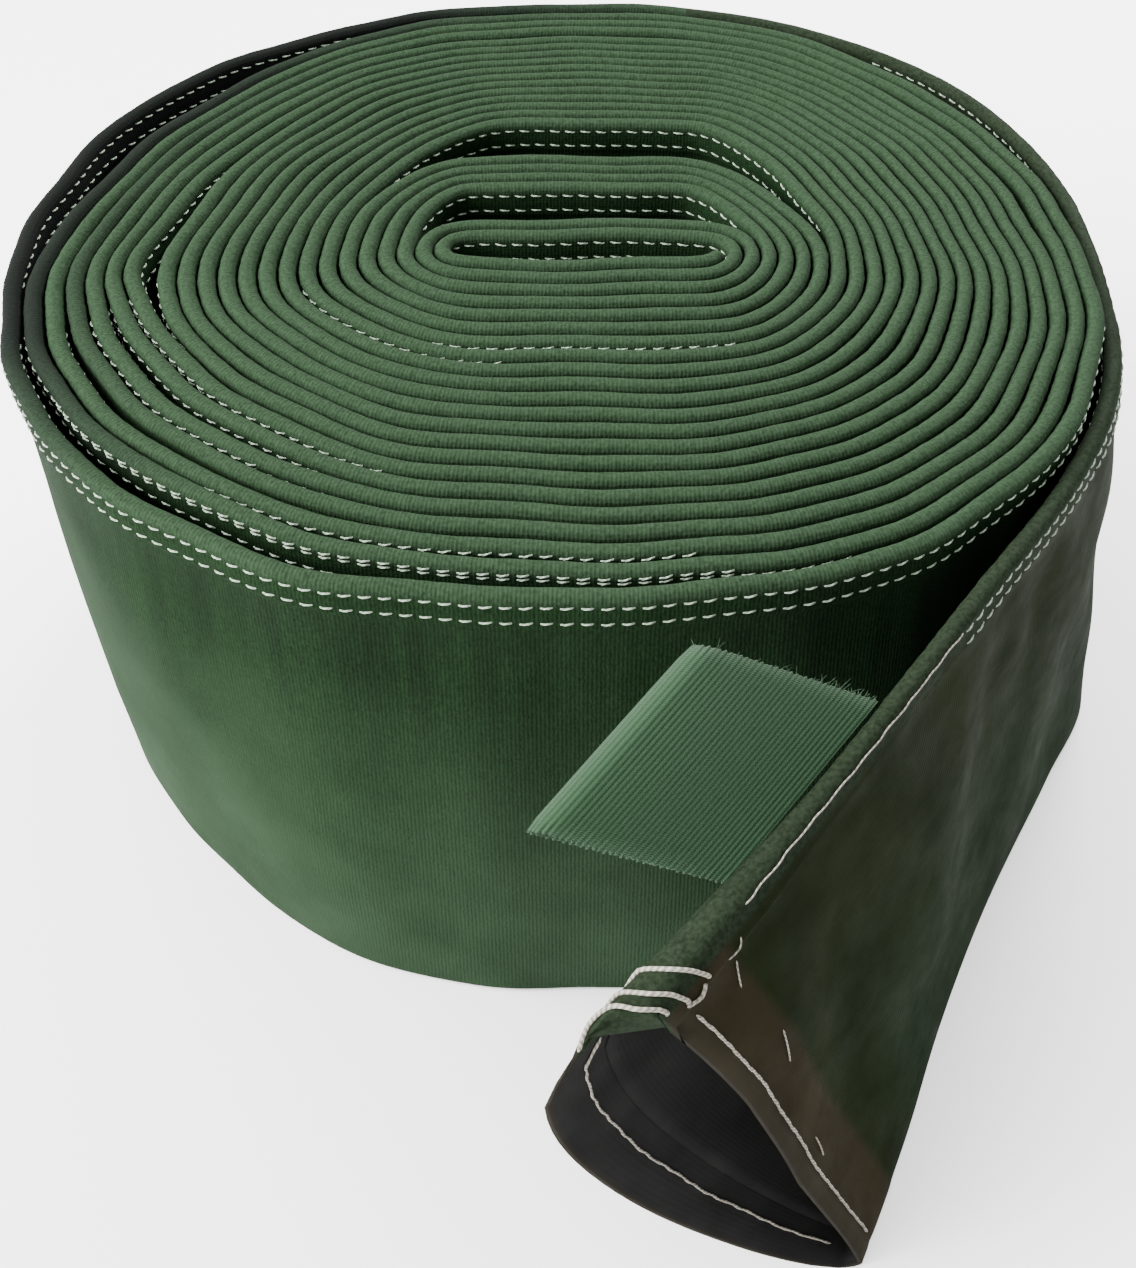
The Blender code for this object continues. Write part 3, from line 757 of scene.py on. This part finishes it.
def webbing_material(name, dark, light):
    """Ribbed webbing: fine threads across the ribs, dark in the grooves, with painted shade towards the fold.
    """
    mat, tree, shader = start_material(name, 0.8, 0.12, 0.05)
    place, cloth = cloth_places(tree)
    along = add(tree, "ShaderNodeSeparateXYZ", {0: cloth}).outputs[0]
    rib = waves(tree, cloth, RIB_PITCH, "X")
    cross = waves(tree, cloth, 0.00055, "Y", 0.3)
    grain = noise(tree, place, 0.0012, 2.0)
    tone = weighted(tree, (rib, 0.7), (cross, 0.25), (grain, 0.3))
    colour = mix(tree, ramp(tree, tone, 0.2, 1.05), dark, light)
    # painted shade: the webbing is darker towards its fold, whose edge faces the light
    fold = ramp(tree, along, WEB_LENGTH - 0.013, WEB_LENGTH - 0.002, 0.0, 0.8)
    surface(tree, shader, mix(tree, fold, colour, dark), cross, 0.5, 0.00025)
    return mat


# ---------------------------------------------------------------- build the hose
def dress(obj, mat, body=None, replaces=()):
    obj.data.materials.append(mat)
    if body is not None:
        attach(obj, body)
    if replaces:
        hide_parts(*replaces)
    return obj


# a lighter, dustier green: wear and painted light on the seam's top, and painted floor light low on the wall
DUST_AND_PAINTED_LIGHT = (0.024, 0.043, 0.0235, 1.0)
GREY = (0.0058, 0.0066, 0.0062, 1.0)
# painted shade in the soft puckers under the seam
PAINTED_PUCKER_SHADE = (0.0008, 0.0022, 0.0008, 1.0)
BLACK = (0.0, 0.0, 0.0, 1.0)
WHITE = (1.0, 1.0, 1.0, 1.0)
# a dark and a light shade of each cloth and thread
CANVAS_GREEN = ((0.0028, 0.0080, 0.0026, 1.0), (0.0080, 0.0205, 0.0077, 1.0))
TAIL_GREEN = ((0.0026, 0.0088, 0.0024, 1.0), (0.0074, 0.0215, 0.0068, 1.0))
OLIVE = ((0.0029, 0.0056, 0.0009, 1.0), (0.0080, 0.0130, 0.0030, 1.0))
HEM_BROWN = ((0.0105, 0.0082, 0.0038, 1.0), (0.0205, 0.0165, 0.0082, 1.0))
RIM_BROWN = ((0.0130, 0.0108, 0.0062, 1.0), (0.0240, 0.0205, 0.0125, 1.0))
CHARCOAL = ((0.0062, 0.0060, 0.0059, 1.0), (0.0165, 0.0160, 0.0157, 1.0))
RIDGE_GREEN = ((0.0060, 0.0100, 0.0050, 1.0), (0.0145, 0.0215, 0.0125, 1.0))
LOW_GREEN = ((0.0030, 0.0088, 0.0022, 1.0), (0.0078, 0.0175, 0.0056, 1.0))
THREAD_WHITE = ((0.16, 0.22, 0.15, 1.0), (0.36, 0.42, 0.34, 1.0))
THREAD_BEIGE = ((0.12, 0.11, 0.09, 1.0), (0.30, 0.28, 0.24, 1.0))
WEBBING_GREEN = ((0.0105, 0.031, 0.0125, 1.0), (0.038, 0.080, 0.041, 1.0))
# the stronger green low on the free end fades out between these distances
GREEN_LOW = (HOSE_LENGTH - 0.06, HOSE_LENGTH - 0.03)
# (starts, full, fades, gone, share): stretches of the hose where the canvas has greyed
GREYED = (
    (at_turn(18.36), at_turn(18.46), at_turn(18.56), at_turn(18.70), 0.35),
    (at_turn(20.34), at_turn(20.44), at_turn(20.60), at_turn(20.76), 0.85),
    (at_turn(21.36), at_turn(21.46), at_turn(21.70), at_turn(21.80), 0.95),
)
HEM_TOP = HOSE_LENGTH - HEM_FOLD
HEM_ROW = HOSE_LENGTH - HEM
# (starts, full, dark, light): the shades along the free end, to the charcoal inside
TAIL_SHADES = (
    (at_turn(21.80), at_row(-1.0), *OLIVE),
    (HEM_TOP - 0.002, HEM_TOP + 0.002, *HEM_BROWN),
    (HEM_ROW - 0.001, HEM_ROW + 0.001, *RIM_BROWN),
    (HOSE_LENGTH - 0.0005, HOSE_LENGTH + 0.0005, *CHARCOAL),
)
canvas = canvas_material("canvas_green", *CANVAS_GREEN, DUST_AND_PAINTED_LIGHT, 0.9, 0.00032)
tail_canvas = coated_material("canvas_tail", *TAIL_GREEN, 0.7, 0.015, TAIL_SHADES, RIDGE_GREEN)
lining_mat = coated_material("lining_charcoal", *CHARCOAL, 0.7, 0.012)
white_thread = thread_material("thread_white", *THREAD_WHITE)
beige_thread = thread_material("thread_beige", *THREAD_BEIGE)
webbing_mat = webbing_material("webbing_green", *WEBBING_GREEN)

PEEL = frame["joints"][0]["pos_m"]
CURL = frame["joints"][1]["pos_m"]


def bend_ends(centre, reach, before, after):
    """Start and end points of a bend, on the hose's direction at the joint.

    A point that turns ahead of the axis swings the other way, so the bend starts on the axis
    where the hose lies close against the coil.
    """
    ahead = lookup(SEAMS + FOLDS, np.array([reach + 0.002, reach - 0.002]))
    along = ahead[0] - ahead[1]
    along[2] = 0.0
    along = Vector(along).normalized()
    return Vector(centre) - along * before, Vector(centre) + along * after


PEEL_ENDS = bend_ends(PEEL, at_turn(PEEL_TURN), 0.03, 0.03)
CURL_ENDS = bend_ends(CURL, at_row(CURL_ROW), 0.0, 0.04)


def bend_peel(obj):
    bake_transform(obj)


def bend_curl(obj):
    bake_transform(obj)


CUT_A = round(at_turn(CUT_TURN) / CELL) * CELL
CUT_B = round(at_row(CUT_ROW) / CELL) * CELL
START = math.ceil(at_turn(FIRST_TURN) / CELL) * CELL

wound = dress(strip("hose_wound", START, CUT_A, COIL_STEPS), canvas, "coil", ["hose_coil"])
lift = dress(strip("hose_lift", CUT_A, CUT_B, FINE_STEPS), tail_canvas, None, ["hose_tail"])
bend_peel(lift)


def rim_skin(reach, depth, sign, inset=0.0, lift=0.0):
    return skin(set_back(reach, depth, sign), depth, sign, inset, lift)


def mouth_body():
    """The last run: pressed flat at first, a hemmed pocket at the rim."""
    outer = np.append(np.arange(round(CUT_B / CELL), math.floor(HOSE_LENGTH / CELL)) * CELL, HOSE_LENGTH)
    outer = np.insert(outer, 1, outer[0] + EDGE_STEP)
    depth, sign = section(FINE_STEPS)
    rings = rim_skin(outer[:, None], depth[None, :], sign[None, :])
    inner = outer[outer > at_row(OPEN_ROW) + 0.002][::-1]
    share = (depth.max() - depth) / depth.max()
    inside_depth = FLAT_WIDTH * (1.0 - (0.012 + 0.933 * share))
    pocket = rim_skin(inner[:, None], inside_depth[None, :], sign[None, :], CANVAS)
    lengths = np.concatenate((outer, 2.0 * HOSE_LENGTH - inner))
    across = np.where(sign > 0, depth, -depth) + FLAT_WIDTH
    return loft("hose_end", np.concatenate((rings, pocket)), across, lengths)


end = dress(mouth_body(), tail_canvas, None, ["hose_mouth"])
bend_curl(end)


# ---------------------------------------------------------------- seam stitches
rows = seam_rows(START + 0.004, CUT_A)
for low_turn, high_turn in SHOULDER_ROWS:
    rows.append(stitch_row(at_turn(low_turn), at_turn(high_turn), 0.0019, 1.0, 0.0037, -1.0))
wound_thread = stitches("seam_stitches_wound", rows)
dress(wound_thread, white_thread, "coil", ["seam_thread_upper_coil", "seam_thread_lower_coil"])

lift_thread = stitches("seam_stitches_lift", seam_rows(CUT_A, CUT_B))
dress(lift_thread, white_thread, None, ["seam_thread_upper_tail", "seam_thread_lower_tail"])
bend_peel(lift_thread)

end_thread = stitches("seam_stitches_end", seam_rows(CUT_B, LONE_FROM))
dress(end_thread, white_thread, None, ["seam_thread_upper_mouth", "seam_thread_lower_mouth"])
bend_curl(end_thread)


def lining():
    """The waterproof layer inside the open end."""
    last = math.floor((HOSE_LENGTH - LINING_BACK) / CELL)
    reach = np.arange(round(LINING_FROM / CELL), last) * CELL
    depth, sign = section(FINE_STEPS)
    share = (depth.max() - depth) / depth.max()
    inside_depth = FLAT_WIDTH * (1.0 - (0.014 + 0.92 * share))
    outer = rim_skin(reach[:, None], inside_depth[None, :], sign[None, :], CANVAS + 0.0001)
    inner = rim_skin(reach[::-1, None], inside_depth[None, :], sign[None, :], CANVAS + 0.0001 + LINING_SKIN)
    lengths = np.concatenate((reach, reach[::-1] + 0.05))
    across = np.where(sign > 0, depth, -depth) + FLAT_WIDTH
    return loft("mouth_lining_sheet", np.concatenate((outer, inner)), across, lengths, "joined")


inside = dress(lining(), lining_mat, "mouth", ["mouth_lining"])


def thread(name, points, radius, steps=6):
    """One thread through the points, with rounded tips."""
    points = np.array(points, float)
    count = (len(points) - 1) * steps + 1
    path = spline(points, np.linspace(0.0, len(points) - 1.0, count))
    radii = np.full(count, radius)
    radii[0] = radii[-1] = 0.3 * radius
    return tubes(name, path[None], radii, 8)


def spot(back, depth, sign, lift):
    """A point of the open end, a distance back from the rim and below the seam."""
    reach = np.array([HOSE_LENGTH - back])
    return rim_skin(reach, np.array([depth]), sign, 0.0, lift)[0]


def hem_path(sign, back, inset):
    """The hem's thread up one layer of the mouth: nearly continuous, sunk a little at each hole."""
    depth = np.arange(0.014, 0.158, 0.00125)
    beat = np.cos(2.0 * np.pi * depth / STITCH)
    reach = HOSE_LENGTH - back + 0.00008 * np.sin(depth * 731.0) + 0.00012 * np.sin(depth * 190.0)
    rise = 0.00016 - 0.00008 * beat
    return rim_skin(reach, depth, sign, inset - (rise if inset else 0.0), 0.0 if inset else rise)


def hem_thread(name, sign, radius, replaced):
    lengths = (HEM, HEM - 0.0022 if sign < 0 else HEM)
    paths = np.stack((hem_path(sign, lengths[0], 0.0), hem_path(sign, lengths[1], CANVAS + 0.0007)))
    steps = np.arange(paths.shape[1])
    radii = radius * (1.0 - 0.18 * np.cos(0.5 * np.pi * steps))
    radii[0] = radii[-1] = 0.3 * radius
    return dress(tubes(name, paths, radii), beige_thread, "mouth", [replaced])


hem_thread("hem_stitches_right", 1.0, 0.00042, "hem_thread_right")
hem_thread("hem_stitches_left", -1.0, 0.00034, "hem_thread_left")


def tack_loop(back, slant, left_depth, right_depth):
    """A turn of thick thread over the seam's end, from one layer to the other."""
    over = 0.0006
    places = (
        (1.0, right_depth, 1.0, -over),
        (0.8, right_depth - 0.001, 1.0, 0.0005),
        (0.5, 0.5 * right_depth, 1.0, over),
        (0.2, 0.0012, 1.0, over),
        (0.0, 0.0, 1.0, 0.0),
        (-0.2, 0.0012, -1.0, over),
        (-0.5, 0.5 * left_depth, -1.0, over),
        (-1.0, left_depth, -1.0, -over),
    )
    points = [spot(back + share * slant, depth, sign, lift) for share, depth, sign, lift in places]
    # the middle point is the seam's very top, so it is raised straight up
    points[4] = points[4] + np.array((0.0, 0.0, over))
    return points


# name, distance from the rim, slant, how far down the left layer and the right one
TACKS = (
    ("bar_tack_loops", 0.0140, 0.003, 0.006, 0.008),
    ("bar_tack_loop_2", 0.0060, 0.002, 0.007, 0.008),
    ("bar_tack_loop_3", 0.0008, 0.001, 0.012, 0.005),
)
for name, *values in TACKS:
    loop = thread(name, tack_loop(*values), TACK_RADIUS)
    stands_for = ["bar_tack"] if name == TACKS[0][0] else ()
    dress(loop, beige_thread, "mouth", stands_for)

# three points of each loose bit of thread: distance from the rim, depth below the seam
LOOSE = (
    ((0.0150, 0.0085), (0.0110, 0.0100), (0.0065, 0.0085)),
    ((0.0300, 0.0080), (0.0275, 0.0100), (0.0240, 0.0105)),
    ((0.0260, 0.0140), (0.0235, 0.0175), (0.0220, 0.0220)),
    ((0.0230, 0.0470), (0.0205, 0.0530), (0.0190, 0.0600)),
    ((0.0130, 0.0960), (0.0120, 0.1010), (0.0115, 0.1060)),
)
LIFTS = (0.0001, 0.0005, 0.0001)
for number, places in enumerate(LOOSE):
    knots = [spot(back, depth, 1.0, rise) for (back, depth), rise in zip(places, LIFTS)]
    bit = thread(f"loose_thread_{number + 1}", knots, LOOSE_RADII[min(number, 1)])
    dress(bit, beige_thread, "mouth")

# past the last double stitches one fine thread runs on beside the seam
backs = np.arange(0.036, HOSE_LENGTH - LONE_FROM, LONE_STEP)
lone = [spot(back, 0.0019 + 0.0002 * math.sin(back * 700.0), 1.0, 0.0001) for back in backs]
lone_thread = dress(thread("seam_thread_lone", lone, LOOSE_RADII[1], 4), beige_thread, None)
bend_curl(lone_thread)


# ---------------------------------------------------------------- webbing loop
def webbing_frame():
    """Middle of the sewn edge, and unit vectors along it, out of the seam and across."""
    reach = np.array([at_row(row) for row in WEB_ROWS])
    seam = lookup(SEAMS, reach)
    up = unit(seam - lookup(FOLDS, reach))
    ends = seam - up * WEB_DEPTH - unit(lookup(NORMALS, reach)) * (0.0028 + 0.5 * WEB_BASE)
    along = unit(ends[1] - ends[0])
    out = np.array(WEB_OUT)
    return 0.5 * (ends[0] + ends[1]), along, out, unit(np.cross(along, out))


def webbing_path():
    """Centre line of the folded webbing in its own plane, every fifth of a millimetre."""
    radius = 0.5 * (WEB_OPEN + WEB_THICK)
    base = 0.5 * (WEB_BASE - WEB_THICK)
    straight = WEB_LENGTH - radius - 0.5 * WEB_THICK
    share = np.linspace(0.0, 1.0, 60)
    opening = share * share * (3.0 - 2.0 * share)
    side = np.stack((straight * share, base + (radius - base) * opening), 1)
    angle = np.linspace(0.5 * np.pi, -0.5 * np.pi, 40)[1:-1]
    fold = np.stack((straight + radius * np.cos(angle), radius * np.sin(angle)), 1)
    path = np.concatenate((side, fold, side[::-1] * (1.0, -1.0)))
    length = np.concatenate(((0.0,), np.cumsum(np.linalg.norm(np.diff(path, axis=0), axis=1))))
    even = np.arange(0.0, length[-1], 0.00018)
    return np.stack((np.interp(even, length, path[:, 0]), np.interp(even, length, path[:, 1])), 1), even


def build_webbing():
    middle, along, out, across = webbing_frame()
    path, length = webbing_path()
    run = unit(np.gradient(path, axis=0))
    rib = np.abs(np.sin(np.pi * length / RIB_PITCH)) ** 0.7
    half = 0.5 * WEB_THICK - 0.00022 + 0.00024 * rib
    wide = np.linspace(-0.5, 0.5, 15) * WEB_SEWN
    span = np.concatenate((wide, wide[::-1]))
    face = np.concatenate((np.ones(15), -np.ones(15)))
    inside = np.clip((0.5 * WEB_SEWN - np.abs(span)) / 0.0008, 0.35, 1.0)
    thick = across * run[:, :1] - out * run[:, 1:]
    centre = middle + out * path[:, :1] + across * path[:, 1:]
    ragged = 0.00035 * np.sin(length * 4100.0) * np.sin(length * 733.0)
    edge = np.abs(span) > 0.49 * WEB_SEWN
    reach = span[None, :] + np.sign(span)[None, :] * edge[None, :] * ragged[:, None]
    belly = 0.0012 * np.sin(np.pi * (span / WEB_SEWN + 0.5))[None, :]
    belly = belly * np.sin(np.pi * path[:, :1] / WEB_LENGTH * 0.9)
    belly = belly * np.sign(path[:, 1:])
    rings = centre[:, None, :] + along * reach[..., None]
    rings = rings + thick[:, None, :] * (face * inside)[None, :, None] * half[:, None, None]
    rings = rings + across * belly[..., None]
    return loft("webbing_folded", rings, span + 0.5 * WEB_SEWN + np.where(face > 0, 0.0, 0.06), length)


web = dress(build_webbing(), webbing_mat, "loop", ["webbing_loop"])


def frays():
    """Short loose fibres along the webbing's cut edge."""
    middle, along, out, across = webbing_frame()
    path = webbing_path()[0]
    rng = np.random.default_rng(11)
    count = 150
    pick = rng.integers(4, int(len(path) * 0.46), count)
    start = middle + out * path[pick, :1] + across * path[pick, 1:] - along * (0.5 * WEB_SEWN - 0.0006)
    lean = rng.normal(0.0, 0.5, (count, 3)) - along
    size = rng.uniform(0.0008, 0.0026, (count, 1))
    bend = rng.normal(0.0, 0.4, (count, 3))
    share = np.linspace(0.0, 1.0, 5)[None, :, None]
    paths = start[:, None, :] + (lean * size)[:, None, :] * share + (bend * size)[:, None, :] * share ** 2
    return tubes("webbing_frays", paths, np.array((0.00013, 0.00013, 0.00012, 0.0001, 0.00004)), 5)


fray = dress(frays(), webbing_mat, "loop")
sewn = stitches("loop_stitches", [stitch_row(at_row(3.95), at_row(4.9), 0.0046, -1.0)], 0.0004)
dress(sewn, white_thread, "mouth", ["loop_thread"])


# ---------------------------------------------------------------- floor, light, camera
def add_light(name, place, target, size, energy):
    lamp = bpy.data.lights.new(name, "AREA")
    lamp.shape = "SQUARE"
    lamp.size = size
    lamp.energy = energy
    obj = bpy.data.objects.new(name, lamp)
    obj.location = place
    obj.rotation_mode = "QUATERNION"
    obj.rotation_quaternion = (Vector(target) - Vector(place)).to_track_quat("-Z", "Y")
    bpy.context.scene.collection.objects.link(obj)


FLOOR_HALF = 20
floor_mesh = bpy.data.meshes.new("floor")
corners = [(FLOOR_HALF * x, FLOOR_HALF * y, 0) for x, y in ((-1, -1), (1, -1), (1, 1), (-1, 1))]
floor_mesh.from_pydata(corners, [], [(0, 1, 2, 3)])
floor = bpy.data.objects.new("floor", floor_mesh)
floor.location.z = -0.0005
bpy.context.scene.collection.objects.link(floor)
floor_mat, _, floor_shader = start_material("floor_white", 0.9, 0.1)
floor_shader.inputs["Base Color"].default_value = WHITE
floor_mesh.materials.append(floor_mat)

world = bpy.data.worlds.new("studio")
bpy.context.scene.world = world
world.use_nodes = True
# a light tent: bright above and on the left, dim at the front and on the right
sky = world.node_tree.nodes["Background"]
sky.inputs["Color"].default_value = WHITE
sky_tree = world.node_tree
BRIGHT_SIDE = (-0.66, 0.20, 0.72)
facing = add(sky_tree, "ShaderNodeTexCoord").outputs["Generated"]
towards = add(sky_tree, "ShaderNodeVectorMath", {0: facing, 1: BRIGHT_SIDE}, operation="DOT_PRODUCT")
glow = ramp(sky_tree, towards.outputs["Value"], -0.1, 1.0, 0.5, 3.6)
sky_tree.links.new(glow, sky.inputs["Strength"])
add_light("key", (-1.3, -0.2, 0.9), (0.0, 0.0, 0.08), 1.0, 95.0)
add_light("back", (0.55, 0.95, 0.85), (0.0, 0.05, 0.17), 0.8, 45.0)
add_light("low", (-0.75, -0.95, 0.22), (-0.05, -0.1, 0.05), 0.35, 12.0)

camera_data = bpy.data.cameras.new("camera")
camera_data.lens = 42.96
camera = bpy.data.objects.new("camera", camera_data)
camera.location = (COIL_CENTRE[0], COIL_CENTRE[1] - 0.385, 0.4245)
camera.rotation_euler = (math.radians(41.7), 0.0, 0.0)
bpy.context.scene.collection.objects.link(camera)
bpy.context.scene.camera = camera

bpy.context.view_layer.update()
